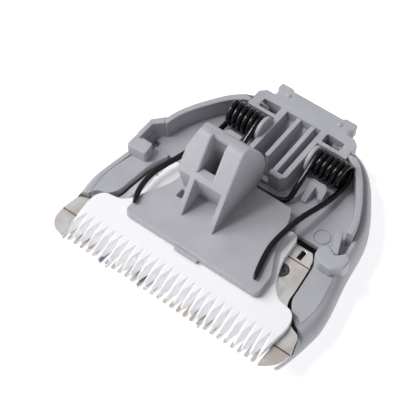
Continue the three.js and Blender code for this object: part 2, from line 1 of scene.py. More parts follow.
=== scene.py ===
# %% [markdown]
# # The blade head of a pet clipper
#
# A clipper's blade head is a small detachable assembly: a steel comb blade that stands still, a white
# ceramic cutter that slides over it, a grey plastic carrier with a fork for the motor's pin, a black wire
# spring that holds the cutter down, and a grey frame set into a smooth cover. It lies here on its cover
# with the inner side up.
#
# The overall sizes and the places come from the imported model, and the finer outlines are drawn to fit
# it. This lesson builds each piece again around that model, with the small radii and the finish that
# moulded, ground and wound parts have.

# %% Load the model that everything is built around
import json
import math

import bmesh
import bpy
from mathutils import Matrix, Vector

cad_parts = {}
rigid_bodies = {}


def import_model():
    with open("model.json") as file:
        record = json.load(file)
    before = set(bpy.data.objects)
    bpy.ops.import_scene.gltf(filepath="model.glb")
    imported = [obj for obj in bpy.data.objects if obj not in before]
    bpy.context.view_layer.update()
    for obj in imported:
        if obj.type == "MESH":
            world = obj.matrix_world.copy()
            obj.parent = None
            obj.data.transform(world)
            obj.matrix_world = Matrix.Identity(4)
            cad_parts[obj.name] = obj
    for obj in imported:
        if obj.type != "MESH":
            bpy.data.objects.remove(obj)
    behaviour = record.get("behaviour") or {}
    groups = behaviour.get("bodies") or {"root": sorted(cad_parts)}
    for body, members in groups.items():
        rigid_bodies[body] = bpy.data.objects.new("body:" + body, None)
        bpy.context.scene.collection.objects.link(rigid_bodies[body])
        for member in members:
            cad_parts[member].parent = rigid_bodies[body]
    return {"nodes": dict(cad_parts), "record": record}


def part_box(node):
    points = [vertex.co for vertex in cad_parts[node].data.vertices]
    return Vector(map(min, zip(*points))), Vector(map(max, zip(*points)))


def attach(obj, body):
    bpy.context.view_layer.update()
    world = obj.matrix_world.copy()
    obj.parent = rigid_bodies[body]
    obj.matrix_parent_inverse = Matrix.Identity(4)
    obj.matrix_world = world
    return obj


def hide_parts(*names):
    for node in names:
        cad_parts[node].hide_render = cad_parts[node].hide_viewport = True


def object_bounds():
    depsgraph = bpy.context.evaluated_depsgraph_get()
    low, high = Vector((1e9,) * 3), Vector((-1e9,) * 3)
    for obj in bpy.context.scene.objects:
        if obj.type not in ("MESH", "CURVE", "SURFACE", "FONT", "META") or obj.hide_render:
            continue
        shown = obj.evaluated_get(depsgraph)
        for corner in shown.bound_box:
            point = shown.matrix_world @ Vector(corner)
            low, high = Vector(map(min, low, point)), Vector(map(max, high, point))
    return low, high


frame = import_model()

cad_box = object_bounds()
print("the model's box in metres:", [[round(v, 4) for v in corner] for corner in cad_box])

# %% [markdown]
# ## A drawing board in millimetres
#
# The pieces are drawn in millimetres on a board of their own, because that is how such a part is
# dimensioned: x = 0 is the middle of the row of teeth, y = 0 is the line of the steel tips and z = 0 is the
# steel's upper face. The comb blade's box says where that board lies in the model, so its place is not
# fitted by eye.

# %% Where the drawing board lies in the model
MM = 0.001
comb_low, comb_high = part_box("comb_blade")
BOARD = Vector((0, comb_low.y, comb_high.z))


def on_board(node):
    """The lowest and highest corners of a node, in millimetres on the drawing board."""
    low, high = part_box(node)
    return (low - BOARD) / MM, (high - BOARD) / MM


carrier_low, carrier_high = on_board("cutter_carrier")
cutter_low, cutter_high = on_board("ceramic_cutter")
cover_low, cover_high = on_board("outer_cover")
blade_low, blade_high = on_board("comb_blade")
print("cutter top", round(cutter_high.z, 2), "fork top", round(carrier_high.z, 2))
print("cover underside", round(cover_low.z, 2))

# %% [markdown]
# ## The camera
#
# The head is seen from in front and to the right, from about 55 degrees up, through a long lens so that the
# sides hardly converge. Giving the camera an azimuth, an elevation and the point it looks at reads better
# than a matrix.

# %% Camera
VIEW_AZIMUTH = 36.28
VIEW_ELEVATION = 55.17
VIEW_ROLL = 0.8
VIEW_DISTANCE = 0.1967
VIEW_POINT = BOARD + Vector((-3.75, 17.85, 0)) * MM
VIEW_LENS = 108.2


def look_direction(azimuth, elevation):
    """The way a camera looks when it stands round from -Y by an azimuth and up by an elevation."""
    a, e = math.radians(azimuth), math.radians(elevation)
    return Vector((-math.sin(a) * math.cos(e), math.cos(a) * math.cos(e), -math.sin(e)))


camera_data = bpy.data.cameras.new("camera")
camera = bpy.data.objects.new("camera", camera_data)
bpy.context.scene.collection.objects.link(camera)
bpy.context.scene.camera = camera
camera_data.lens = VIEW_LENS
camera_data.clip_start = 0.005
looking = look_direction(VIEW_AZIMUTH, VIEW_ELEVATION)
level = looking.to_track_quat("-Z", "Y").to_matrix().to_4x4()
turned = level @ Matrix.Rotation(math.radians(VIEW_ROLL), 4, "Z")
camera.matrix_world = Matrix.Translation(VIEW_POINT - looking * VIEW_DISTANCE) @ turned
print("camera at", [round(v, 4) for v in camera.matrix_world.translation])

# %% [markdown]
# ## Drawing outlines
#
# Nearly every edge of a moulded or stamped part starts as a flat outline. Three helpers draw them: an arc,
# a smooth curve through a few places, and a polygon whose corners are rounded off.

# %% Outline helpers
def arc(cx, cy, radius, start, end, steps):
    """Points of an arc about (cx, cy), angles in degrees."""
    angles = [math.radians(start + (end - start) * i / steps) for i in range(steps + 1)]
    return [(cx + radius * math.cos(a), cy + radius * math.sin(a)) for a in angles]


def smooth(places, per_span=8):
    """A curve through the places, its slope at each set by the neighbours."""
    points = []
    for i in range(len(places) - 1):
        a = Vector(places[max(i - 1, 0)])
        b, c = Vector(places[i]), Vector(places[i + 1])
        d = Vector(places[min(i + 2, len(places) - 1)])
        for step in range(per_span):
            t = step / per_span
            square = (2 * a - 5 * b + 4 * c - d) * t**2
            cube = (3 * b - a - 3 * c + d) * t**3
            points.append(tuple(0.5 * (2 * b + (c - a) * t + square + cube)))
    return points + [tuple(places[-1])]


def rounded(corners, radius, steps=4):
    """A polygon with each corner (x, y) or (x, y, its own radius) rounded."""
    outline = []
    for i, corner in enumerate(corners):
        here = Vector(corner[:2])
        back = Vector(corners[i - 1][:2]) - here
        on = Vector(corners[(i + 1) % len(corners)][:2]) - here
        size = corner[2] if len(corner) > 2 else radius
        half = back.angle(on) / 2
        cut = min(size / math.tan(half), back.length * 0.48, on.length * 0.48) if half > 0.02 else 0
        if size == 0 or cut < 1e-4:
            outline.append(tuple(here))
            continue
        start, end = here + back.normalized() * cut, here + on.normalized() * cut
        for step in range(steps + 1):
            t = step / steps
            outline.append(tuple((1 - t) ** 2 * start + 2 * t * (1 - t) * here + t**2 * end))
    return outline


def mirrored(right_half):
    """The outline whose right half runs from the front round to the back."""
    return right_half + [(-x, y) for x, y in reversed(right_half) if x]


def flipped(outline):
    """The same outline on the other side of the middle plane."""
    return [(-x, y) for x, y in reversed(outline)]


# %% [markdown]
# ## From outlines to solids
#
# A filled 2D curve in Blender can be given a thickness and a rounded edge at once: extrude sets the
# thickness, bevel depth the radius, and an offset of minus that radius keeps the outline the size it was
# drawn. Holes are just further outlines inside the first. It is the quickest way to a plate with true radii
# on every edge.

# %% Plates with rounded edges
WELD = 1e-4


def as_object(mesh, name):
    piece = bpy.data.objects.new(name, mesh)
    bpy.context.scene.collection.objects.link(piece)
    return piece


def baked(piece):
    """A mesh object with the modifiers or the curve of this one made real. The source is removed."""
    graph = bpy.context.evaluated_depsgraph_get()
    graph.update()
    mesh = bpy.data.meshes.new_from_object(piece.evaluated_get(graph))
    name = piece.name
    bpy.data.objects.remove(piece)
    return as_object(mesh, name)


def welded(piece):
    """The piece with the points merged where a curve's caps meet its sides, so that it is one closed skin."""
    skin = bmesh.new()
    skin.from_mesh(piece.data)
    bmesh.ops.remove_doubles(skin, verts=skin.verts, dist=WELD)
    bmesh.ops.recalc_face_normals(skin, faces=skin.faces)
    skin.to_mesh(piece.data)
    skin.free()
    return piece


FACING = {
    "up": Matrix.Identity(4),
    "side": Matrix(((0, 0, 1, 0), (1, 0, 0, 0), (0, 1, 0, 0), (0, 0, 0, 1))),
    "front": Matrix(((1, 0, 0, 0), (0, 0, -1, 0), (0, 1, 0, 0), (0, 0, 0, 1))),
}


def plate(outlines, low, high, edge=0.12, facing="up", segments=2):
    """A plate between two levels, with the first outline as its edge and the others as holes.
    facing: up is an (x, y) outline, side a (y, z) outline with levels along x, front (x, z) along -y."""
    curve = bpy.data.curves.new("plate", "CURVE")
    curve.dimensions = "2D"
    curve.fill_mode = "BOTH"
    for outline in outlines:
        spline = curve.splines.new("POLY")
        spline.points.add(len(outline) - 1)
        for point, (x, y) in zip(spline.points, outline):
            point.co = (x, y, 0, 1)
        spline.use_cyclic_u = True
    curve.extrude = (high - low) / 2 - edge
    curve.bevel_depth = edge
    curve.bevel_resolution = segments
    curve.offset = -edge
    if not edge:
        curve.bevel_resolution = 0
    piece = bpy.data.objects.new("plate", curve)
    bpy.context.scene.collection.objects.link(piece)
    piece = baked(piece)
    piece.data.transform(FACING[facing] @ Matrix.Translation((0, 0, (low + high) / 2)))
    return welded(piece)


def brick(x0, x1, y0, y1, z0, z1, edge=0.12, corner=0.0):
    """A block between two corners with rounded edges."""
    corners = [(x0, y0), (x1, y0), (x1, y1), (x0, y1)]
    return plate([rounded(corners, corner or edge)], z0, z1, edge)


def turned_solid(profile, centre, facing="up", steps=40):
    """A solid turned about an axis through a centre: the profile lists (radius, level) from end to end."""
    solid = bmesh.new()
    rings = []
    for radius, level in profile:
        angles = [2 * math.pi * i / steps for i in range(steps)]
        rings.append([solid.verts.new((radius * math.cos(a), radius * math.sin(a), level)) for a in angles])
    for low, high in zip(rings, rings[1:]):
        for i in range(steps):
            solid.faces.new((low[i], low[(i + 1) % steps], high[(i + 1) % steps], high[i]))
    solid.faces.new(list(reversed(rings[0])))
    solid.faces.new(rings[-1])
    bmesh.ops.recalc_face_normals(solid, faces=solid.faces)
    mesh = bpy.data.meshes.new("turned")
    solid.to_mesh(mesh)
    solid.free()
    mesh.transform(Matrix.Translation(centre) @ FACING[facing])
    return as_object(mesh, "turned")


def stacked(rings):
    """A closed skin through stacked rings of (x, y, z) points that all have the same number of points."""
    skin = bmesh.new()
    loops = [[skin.verts.new(point) for point in ring] for ring in rings]
    for low, high in zip(loops, loops[1:]):
        for i in range(len(low)):
            skin.faces.new((low[i - 1], low[i], high[i], high[i - 1]))
    skin.faces.new(list(reversed(loops[0])))
    skin.faces.new(loops[-1])
    bmesh.ops.recalc_face_normals(skin, faces=skin.faces)
    mesh = bpy.data.meshes.new("stacked")
    skin.to_mesh(mesh)
    skin.free()
    return as_object(mesh, "stacked")


# %% [markdown]
# ## Joining and cutting
#
# A moulding is one piece of plastic, so its plates are joined into one closed body with the Boolean
# modifier, which can take a whole collection of others at once. Cutting works the same way. The Manifold
# solver is fast and copes with faces that lie in one plane, but every body given to it has to be closed.

# %% Booleans
def combine(piece, others, operation):
    """Joins others to a piece (UNION) or cuts them out of it (DIFFERENCE), and removes the others."""
    if not others:
        return piece
    group = bpy.data.collections.new("others")
    bpy.context.scene.collection.children.link(group)
    for other in others:
        bpy.context.scene.collection.objects.unlink(other)
        group.objects.link(other)
    boolean = piece.modifiers.new("boolean", "BOOLEAN")
    boolean.operation = operation
    boolean.solver = "MANIFOLD"
    boolean.operand_type = "COLLECTION"
    boolean.collection = group
    result = baked(piece)
    for other in list(group.objects):
        bpy.data.objects.remove(other)
    bpy.data.collections.remove(group)
    return result


def joined(first, *others):
    return combine(first, list(others), "UNION")


def cut(first, *others):
    return combine(first, list(others), "DIFFERENCE")


def both_sides(piece):
    """The piece and its mirror image."""
    twin = as_object(piece.data.copy(), "twin")
    twin.data.transform(Matrix.Scale(-1, 4, (1, 0, 0)))
    twin.data.flip_normals()
    return [piece, twin]


def finish_piece(piece, name, node, body, material, sharp=40):
    """Names a piece, moves it from the drawing board into the model, shades it smooth, gives it its material
    and its body, and hides the part of the model that it stands for.
    """
    piece.name = piece.data.name = name
    tidy = bmesh.new()
    tidy.from_mesh(piece.data)
    bmesh.ops.triangulate(tidy, faces=[f for f in tidy.faces if len(f.verts) > 4])
    tidy.to_mesh(piece.data)
    open_edges = sum(1 for edge in tidy.edges if len(edge.link_faces) != 2)
    tidy.free()
    piece.data.transform(Matrix.Translation(BOARD) @ Matrix.Scale(MM, 4))
    piece.data.shade_smooth()
    piece.data.set_sharp_from_angle(angle=math.radians(sharp))
    weighted = piece.modifiers.new("weighted", "WEIGHTED_NORMAL")
    weighted.keep_sharp = True
    weighted.weight = 100
    finished = baked(piece)
    finished.name = finished.data.name = name
    finished.data.materials.clear()
    finished.data.materials.append(material)
    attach(finished, body)
    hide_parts(node)
    print(name, len(finished.data.polygons), "faces,", open_edges, "open edges")


# %% [markdown]
# ## Writing shader maths as expressions
#
# Node trees are easier to read when they are written as sums. This small class wraps an output socket: a
# plus or a times between two of them adds a Math node, and node() adds any other kind.

# %% A socket that can be added and multiplied
class Value:
    def __init__(self, tree, socket):
        self.tree = tree
        self.socket = socket

    def math(self, operation, *others):
        return self.tree.node("ShaderNodeMath", {"operation": operation}, self, *others)[0]

    def __add__(self, other):
        return self.math("ADD", other)

    def __sub__(self, other):
        return self.math("SUBTRACT", other)

    def __rsub__(self, other):
        return self.tree.node("ShaderNodeMath", {"operation": "SUBTRACT"}, other, self)[0]

    def __mul__(self, other):
        return self.math("MULTIPLY", other)

    __radd__ = __add__
    __rmul__ = __mul__

    def clamp(self, low, high, to_low=0.0, to_high=1.0):
        """Runs from to_low to to_high as the value goes from low to high."""
        settings = {"interpolation_type": "SMOOTHSTEP"}
        return self.tree.node("ShaderNodeMapRange", settings, self, low, high, to_low, to_high)[0]


class Material:
    """A new material with a Principled shader, and the method that adds nodes to it."""

    def __init__(self, name, **fixed):
        self.made = bpy.data.materials.new(name)
        self.made.use_nodes = True
        self.nodes = self.made.node_tree.nodes
        self.shader = self.nodes["Principled BSDF"]
        for socket, value in fixed.items():
            self.shader.inputs[socket.replace("_", " ")].default_value = value

    def node(self, kind, settings=None, *inputs, **named):
        made = self.nodes.new(kind)
        for key, value in (settings or {}).items():
            setattr(made, key, value)
        pairs = list(enumerate(inputs))
        pairs += [(key.replace("_", " "), value) for key, value in named.items()]
        for key, value in pairs:
            if isinstance(value, Value):
                self.made.node_tree.links.new(value.socket, made.inputs[key])
            elif value is not None:
                made.inputs[key].default_value = value
        return [Value(self, socket) for socket in made.outputs if socket.enabled]

    def place(self):
        """Where a point lies in the model, in metres, as a vector."""
        return self.node("ShaderNodeTexCoord")[3]

    def stretched(self, scale):
        return self.node("ShaderNodeMapping", None, self.place(), Scale=scale)[0]

    def noise(self, scale, detail=3.0, roughness=0.55, vector=None):
        """Smooth noise from 0 to 1; scale is in lumps per metre."""
        where = vector or self.place()
        sizes = {"Scale": scale, "Detail": detail, "Roughness": roughness}
        return self.node("ShaderNodeTexNoise", None, where, **sizes)[0]

    def split(self, vector):
        return self.node("ShaderNodeSeparateXYZ", None, vector)

    def mix(self, factor, first, second):
        """A colour between two colours."""
        made = self.nodes.new("ShaderNodeMix")
        made.data_type = "RGBA"
        links = self.made.node_tree.links
        for key, value in ((0, factor), (6, first), (7, second)):
            if isinstance(value, Value):
                links.new(value.socket, made.inputs[key])
            else:
                made.inputs[key].default_value = value
        return Value(self, made.outputs[2])

    def soft_edges(self, radius):
        """The surface direction with its sharp inner and outer corners eased over a radius."""
        return self.node("ShaderNodeBevel", {"samples": 6}, Radius=radius)[0]

    def bump(self, height, strength, distance, normal=None):
        sizes = {"Strength": strength, "Distance": distance, "Height": height, "Normal": normal}
        return self.node("ShaderNodeBump", None, **sizes)[0]

    def set(self, **sockets):
        for name, value in sockets.items():
            self.made.node_tree.links.new(value.socket, self.shader.inputs[name.replace("_", " ")])
        return self.made


# %% [markdown]
# ## Grey moulded plastic
#
# The cover, the frame and the carrier are the same family of grey engineering plastic. Up close such a
# moulding has a fine satin grain from the tool, faint cloudy flow in its colour, and slightly shinier
# flats. All three are noise at different scales: grain far under a millimetre, clouds of several
# millimetres.

# %% Plastic
def moulded_plastic(name, colour, roughness=0.42, shine=0.35):
    plastic = Material(name, IOR=1.5, Specular_IOR_Level=shine)
    clouds = plastic.noise(180, 2)
    speckle = plastic.noise(5200, 2)
    tone = (clouds - 0.5) * 0.5 + (speckle - 0.5) * 0.35
    darker = tuple(c * 0.86 for c in colour) + (1,)
    lighter = tuple(min(c * 1.12, 1) for c in colour) + (1,)
    shade = plastic.mix((tone + 0.5).clamp(0.2, 0.8), darker, lighter)
    gloss = (plastic.noise(900, 3) - 0.5) * 0.22 + roughness
    grain = plastic.noise(9000, 3, 0.6)
    relief = plastic.bump(grain + plastic.noise(420, 2) * 1.6, 0.35, 0.00002, plastic.soft_edges(0.00012))
    return plastic.set(Base_Color=shade, Roughness=gloss, Normal=relief)


cover_plastic = moulded_plastic("cover_plastic", (0.40, 0.40, 0.43))
frame_plastic = moulded_plastic("frame_plastic", (0.44, 0.44, 0.475))
carrier_plastic = moulded_plastic("carrier_plastic", (0.44, 0.44, 0.47))

# %% [markdown]
# ## Ground steel
#
# The comb blade is stamped and then ground, so its face carries fine straight scratches across the teeth.
# Stretching noise fifty times along one axis makes them. A warm tint lies in broad patches, as an oxide
# does. Dark streaks are a painted reflection, dark surroundings put into the colour of a bright blade. Two
# thin lines are painted shade: a dark one at the small step where the ground strip ends, and a dark brown
# one along the bend of the real blade, a bend that this flat plate does not have.

# %% Steel
GROUND_FROM = 4.2
FOLD_AT = 18.1


def across(steel, y, half_width):
    """A thin line across the blade at a place along y: 1 on the line and 0 beside it."""
    offset = (steel.split(steel.place())[1] - (BOARD.y + y * MM)).math("ABSOLUTE")
    return offset.clamp(half_width * 0.5 * MM, half_width * MM, 1.0, 0.0)


def ground_steel(name):
    steel = Material(name, Metallic=1.0)
    scratches = steel.noise(1400, 4, 0.7, steel.stretched((1, 0.02, 1)))
    patches = steel.noise(260, 2)
    tint = steel.mix(patches.clamp(0.35, 0.7), (0.86, 0.84, 0.83, 1), (0.70, 0.62, 0.57, 1))
    # painted reflection: dark streaks mixed into the steel's colour
    painted_reflection_streaks = steel.noise(420, 1, 0.4, steel.stretched((1, 0.16, 1))).clamp(0.55, 0.68)
    tint = steel.mix(painted_reflection_streaks, tint, (0.16, 0.18, 0.23, 1))
    # painted shade: a dark line at the small step where the ground strip ends
    tint = steel.mix(across(steel, GROUND_FROM, 0.16), tint, (0.16, 0.15, 0.15, 1))
    # painted shade of the real blade's bend, which this flat plate does not have: a thin dark brown line
    tint = steel.mix(across(steel, FOLD_AT, 0.16), tint, (0.34, 0.16, 0.06, 1))
    gloss = scratches.clamp(0.2, 0.8, 0.16, 0.38)
    relief = steel.bump(scratches, 0.2, 0.000008, steel.soft_edges(0.00006))
    return steel.set(Base_Color=tint, Roughness=gloss, Normal=relief)


def dark_steel(name):
    steel = Material(name, Metallic=1.0)
    mottle = steel.noise(2600, 3)
    tint = steel.mix(mottle, (0.05, 0.055, 0.065, 1), (0.20, 0.21, 0.23, 1))
    gloss = mottle.clamp(0.2, 0.8, 0.25, 0.5)
    return steel.set(Base_Color=tint, Roughness=gloss, Normal=steel.soft_edges(0.00005))


blade_steel = ground_steel("blade_steel")
screw_steel = dark_steel("screw_steel")

# %% [markdown]
# ## White ceramic
#
# Zirconia is pressed, fired and ground. It is dense and nearly pure white with a faint cool cast, a silky
# gloss, and very fine grinding marks on its flat face.

# %% Ceramic
def white_ceramic(name):
    glow = {"Subsurface_Weight": 0.4, "Subsurface_Scale": 0.0006, "Subsurface_Radius": (1, 1, 1)}
    ceramic = Material(name, IOR=1.6, **glow)
    marks = ceramic.noise(2200, 3, 0.6, ceramic.stretched((0.05, 1, 1)))
    clouds = ceramic.noise(300, 2)
    tint = ceramic.mix(clouds, (0.93, 0.93, 0.97, 1), (0.97, 0.97, 0.99, 1))
    gloss = marks.clamp(0.2, 0.8, 0.28, 0.42)
    relief = ceramic.bump(marks, 0.12, 0.000008, ceramic.soft_edges(0.00008))
    return ceramic.set(Base_Color=tint, Roughness=gloss, Normal=relief)


cutter_ceramic = white_ceramic("cutter_ceramic")

# %% [markdown]
# ## Black spring wire
#
# Spring wire with a black finish: almost no colour of its own, all highlights. A little unevenness in the
# roughness breaks the long streaks that a perfect cylinder would show.

# %% Spring wire
def black_wire(name):
    wire = Material(name, Specular_IOR_Level=0.5, IOR=1.45)
    drawn = wire.noise(1800, 3)
    tint = wire.mix(drawn, (0.001, 0.001, 0.0015, 1), (0.004, 0.004, 0.006, 1))
    gloss = drawn.clamp(0.2, 0.8, 0.09, 0.17)
    return wire.set(Base_Color=tint, Roughness=gloss, Normal=wire.bump(drawn, 0.12, 0.00001))


spring_wire = black_wire("spring_wire")

# %% [markdown]
# ## The head's outline
#
# Seen from above, the head is a rounded shield: nearly straight sides that lean in, and a round back. One
# curve through a few places gives it, and a margin draws it in evenly for the lip, the frame and the rim
# inside.

# %% The shield outline
HALF_WIDTH = cover_high.x
HEAD_FRONT = 4.9
HEAD_REAR = cover_high.y
LIP = 1.9
FRAME_MARGIN = 1.93
RIM_WALL = 1.15
FRAME_FRONT = 21.6


def head_outline(margin, level=None):
    """The shield drawn in by a margin, as (x, y) points, or as (x, y, z) points at a level."""
    w = HALF_WIDTH
    places = [
        (w - 4.7, HEAD_FRONT - 0.3), (w - 3.4, HEAD_FRONT - 1.5), (w - 2.3, HEAD_FRONT - 2.6),
        (w - 1.6, HEAD_FRONT - 2.7), (w - 1.1, HEAD_FRONT - 1.2), (w - 0.6, HEAD_FRONT + 1.1),
        (w - 0.2, HEAD_FRONT + 3.9), (w, HEAD_FRONT + 6.4), (w - 0.45, HEAD_FRONT + 10),
        (w - 1.6, HEAD_FRONT + 15.5), (w - 3, HEAD_REAR - 12.3), (w - 6.7, HEAD_REAR - 5.4),
        (w - 9.7, HEAD_REAR - 1.9), (w - 12.9, HEAD_REAR - 0.3), (w - 15.3, HEAD_REAR),
    ]
    middle = (HEAD_FRONT + HEAD_REAR) / 2
    shrink_x = 1 - margin / w
    shrink_y = 1 - margin / (HEAD_REAR - middle)
    drawn_in = [(x * shrink_x, middle + (y - middle) * shrink_y) for x, y in smooth(places, 5)]
    outline = mirrored(drawn_in)
    return outline if level is None else [(x, y, level) for x, y in outline]


def right_side(outline, front, rear=99.0):
    """The right-hand part of an outline between two places along y."""
    return [(x, y) for x, y in outline if x > 0 and front <= y <= rear]


# %% [markdown]
# ## The comb blade
#
# The comb is a stamped plate. Its small round-tipped teeth are made by a loop, and a broad lobe stands at
# each end of the row. It is drawn with many points on its curves, a small radius on its edges, and a front
# strip ground a little lower than the rest.

# %% Comb blade
TEETH = 29
PITCH = 1.25
TOOTH_WIDTH = 0.62
GAP_DEPTH = 3.7
SCREW_AT = (12.0, 15.5)
SCREW_SEAT = 1.25
RIGHT_LOBE_DROP = 0.6


def comb_side(margin, lobe_drop=0.0):
    """The side of the comb from its last tooth to its rear edge, its lobe ground back by a drop."""
    w = blade_high.x - lobe_drop
    root = 15.9 + margin
    rear = blade_high.y
    places = [
        (w - 3.4 + lobe_drop, -margin), (w - 1.5 + margin * 0.4, 0.5 - margin + lobe_drop * 0.7),
        (w - 0.4 + margin * 0.8, 1.7 - margin * 0.5 + lobe_drop), (w + margin, 3.4 + lobe_drop),
        (w - 0.25 + margin, 5.8 + margin * 0.3), (w - 0.9 + margin * 0.7, 7.5 + margin * 0.7),
        (root + 2.6, 8.5 + margin * 0.8), (root + 0.4, 11 + margin * 0.5), (root, 13.5),
    ]
    tail = [(15.4 + margin, rear - 2.8), (14.9 + margin, rear - 1), (14.2 + margin * 0.7, rear + margin)]
    return smooth(places, 7) + tail


def comb_teeth():
    half_gap = (PITCH - TOOTH_WIDTH) / 2
    tip = TOOTH_WIDTH / 2
    points = []
    for gap in range(TEETH + 1):
        x = (gap - TEETH / 2) * PITCH
        points += [(x - half_gap, tip), (x - half_gap, GAP_DEPTH - half_gap)]
        points += arc(x, GAP_DEPTH - half_gap, half_gap, 150, 30, 3)
        points += [(x + half_gap, GAP_DEPTH - half_gap), (x + half_gap, tip)]
        if gap < TEETH:
            points += arc(x + PITCH / 2, tip, tip, 210, 330, 4)
    return points


def build_comb():
    outline = comb_teeth() + comb_side(0, RIGHT_LOBE_DROP) + flipped(comb_side(0))
    slot = [(12.6, 18.6), (13.4, 18.6), (13.4, 20.3), (12.6, 20.3)]
    slots = [[(s * x, y) for x, y in slot] for s in (-1, 1)]
    holes = [arc(s * SCREW_AT[0], SCREW_AT[1], SCREW_SEAT, 0, 345, 23) for s in (-1, 1)]
    body = plate([outline] + slots + holes, blade_low.z, blade_high.z, 0.06, segments=1)
    step = brick(-40, 40, -3, GROUND_FROM, blade_high.z - 0.08, 3, 0)
    return cut(body, step)


finish_piece(build_comb(), "comb_plate", "comb_blade", "head", blade_steel)
for screw in ("blade_screw_left", "blade_screw_right"):
    frame["nodes"][screw].data.materials.clear()
    frame["nodes"][screw].data.materials.append(screw_steel)

# %% [markdown]
# ## The ceramic cutter
#
# The cutter's teeth are ground with a thin wheel that runs out into the face, so behind each gap a shallow
# groove fades away. That fade is what makes the white teeth readable, so it is cut into the mesh: a wedge
# in every gap.

# %% Ceramic cutter
CUTTER_GAPS = 26
CUTTER_PITCH = 1.4
CUTTER_TIP = 0.75
CUTTER_ROOT = 2.3
RUN_OUT = 5.2
WHEEL_SLOPE = 0.57
WAIST = 11.7
LEFT_TAB = 1.7
TABS_FROM = 11.5
TAB_EASE = 5.0
SLIDE = frame["record"]["behaviour"]["joints"][0]["range_m"][1] / MM
SLIDE_CLEARANCE = 0.12
ABOVE = 30


def cutter_outline(reach=0.0):
    """The cutter from its tips round to its rear tabs, moved outwards by the reach of its stroke."""
    w = cutter_high.x
    rear = cutter_high.y - 0.1
    side = smooth([
        (w - 0.8, CUTTER_TIP), (w - 0.3, 4.2), (w, 7), (w - 0.3, 8.6), (w - 1.3, 9.7), (WAIST + 3.2, 10.4),
        (WAIST + 1.4, 12.6), (WAIST + 0.1, 16), (WAIST - 0.2, 18.5),
    ], 6)
    tab = smooth([
        (WAIST - 0.3, rear - 1), (WAIST - 0.9, rear), (WAIST - 2.2, rear), (WAIST - 2.9, rear - 1.2),
        (WAIST - 3.1, rear - 3.2),
    ], 4)
    right = [(x + reach, y) for x, y in side + tab]
    left = [(-x - LEFT_TAB * min(max((y - TABS_FROM) / TAB_EASE, 0), 1), y) for x, y in reversed(right)]
    return right + left


def cutter_path():
    """The room the cutter needs as it slides to either side."""
    return plate([cutter_outline(SLIDE + SLIDE_CLEARANCE)], cutter_low.z - SLIDE_CLEARANCE, ABOVE, 0)


def wheel_cut(x):
    """The space a thin V-shaped grinding wheel takes as it climbs from the gap's foot out of the face."""
    top = cutter_high.z + 0.05
    climb = (cutter_high.z - cutter_low.z) / (RUN_OUT - CUTTER_ROOT)
    front, rear = CUTTER_TIP - 1.2, RUN_OUT + 0.05 / climb
    apex = top - (rear - front) * climb
    half = (top - apex) * WHEEL_SLOPE
    wedge = bmesh.new()
    places = ((x, front, apex), (x - half, front, top), (x + half, front, top), (x, rear, top))
    corners = [wedge.verts.new(place) for place in places]
    for a, b, c in ((0, 1, 2), (0, 1, 3), (0, 2, 3), (1, 2, 3)):
        wedge.faces.new((corners[a], corners[b], corners[c]))
    bmesh.ops.recalc_face_normals(wedge, faces=wedge.faces)
    mesh = bpy.data.meshes.new("wheel_cut")
    wedge.to_mesh(mesh)
    wedge.free()
    return as_object(mesh, "wheel_cut")


def build_cutter():
    body = plate([cutter_outline()], cutter_low.z, cutter_high.z, 0.1)
    gaps = [(gap - (CUTTER_GAPS - 1) / 2) * CUTTER_PITCH for gap in range(CUTTER_GAPS)]
    return cut(body, *[wheel_cut(x) for x in gaps])


finish_piece(build_cutter(), "cutter_plate", "ceramic_cutter", "cutter", cutter_ceramic)

# %% [markdown]
# ## The carrier and its drive fork
#
# The carrier is one moulding: a thin plate over the ceramic, and a fork that the motor's pin drives from
# side to side. The fork is drawn from the side: two cheeks, a sill that joins them in front, a wall that
# closes the slot at the back, and two webs that brace it. Large radii on the cheeks give them a soft
# outline.

# %% Carrier
PLATE_TOP = 3.0
PLATE_LOW = 1.6
FORK_LEFT = -8.4
FORK_RIGHT = 1.0
FORK_FRONT = 16.0
SLOT_LEFT = -4.9
SLOT_RIGHT = -2.1
SLOT_REAR = 22.0
SILL = 8.8


def fork_profile():
    """A cheek of the fork as (y, z) points: its foot, its rounded back, its crown and its slanted front."""
    top = carrier_high.z
    rear = 24.0
    crown = arc(FORK_FRONT + 4.8, top - 1.7, 1.7, 35, 150, 10)
    back = smooth([
        (rear, PLATE_TOP - 0.6), (rear + 1.6, PLATE_TOP + 0.5), (rear + 2.3, PLATE_TOP + 2.2),
        (rear + 2.2, PLATE_TOP + 4.4), (rear + 1.2, PLATE_TOP + 7.2), crown[0],
    ], 4)
    foot = [(FORK_FRONT + 1.6, PLATE_LOW + 0.3), (rear - 0.4, PLATE_LOW + 0.3)]
    return foot + back[:-1] + crown + [(FORK_FRONT, SILL)]


def bridge_profile():
    """The hood behind the slot: as the cheeks, but hollowed in front where the motor's pin passes."""
    top = carrier_high.z
    behind = [(y, z) for y, z in fork_profile() if y > FORK_FRONT + 4.7]
    hollow = [(SLOT_REAR - 1.3, top - 0.9), (SLOT_REAR - 0.8, top - 2.0), (SLOT_REAR - 0.4, PLATE_LOW + 0.4)]
    return behind + hollow


def sill_profile():
    """The sill in front of the slot and the floor behind it."""
    return [
        (FORK_FRONT + 1.6, PLATE_LOW + 0.3), (SLOT_REAR + 1, PLATE_LOW + 0.3), (SLOT_REAR + 1, PLATE_TOP + 2),
        (FORK_FRONT + 1.8, PLATE_TOP + 2), (FORK_FRONT + 1.8, SILL + 0.9), (FORK_FRONT + 0.5, SILL + 0.9),
        (FORK_FRONT, SILL),
    ]


def web(x, thickness):
    """A three-cornered brace from the plate up to the sill."""
    profile = [(FORK_FRONT - 3.5, PLATE_TOP - 0.2), (FORK_FRONT + 1.8, PLATE_TOP - 0.2),
               (FORK_FRONT + 1.8, SILL), (FORK_FRONT, SILL), (FORK_FRONT - 3.5, PLATE_TOP)]
    return plate([profile], x, x + thickness, 0.1, "side")


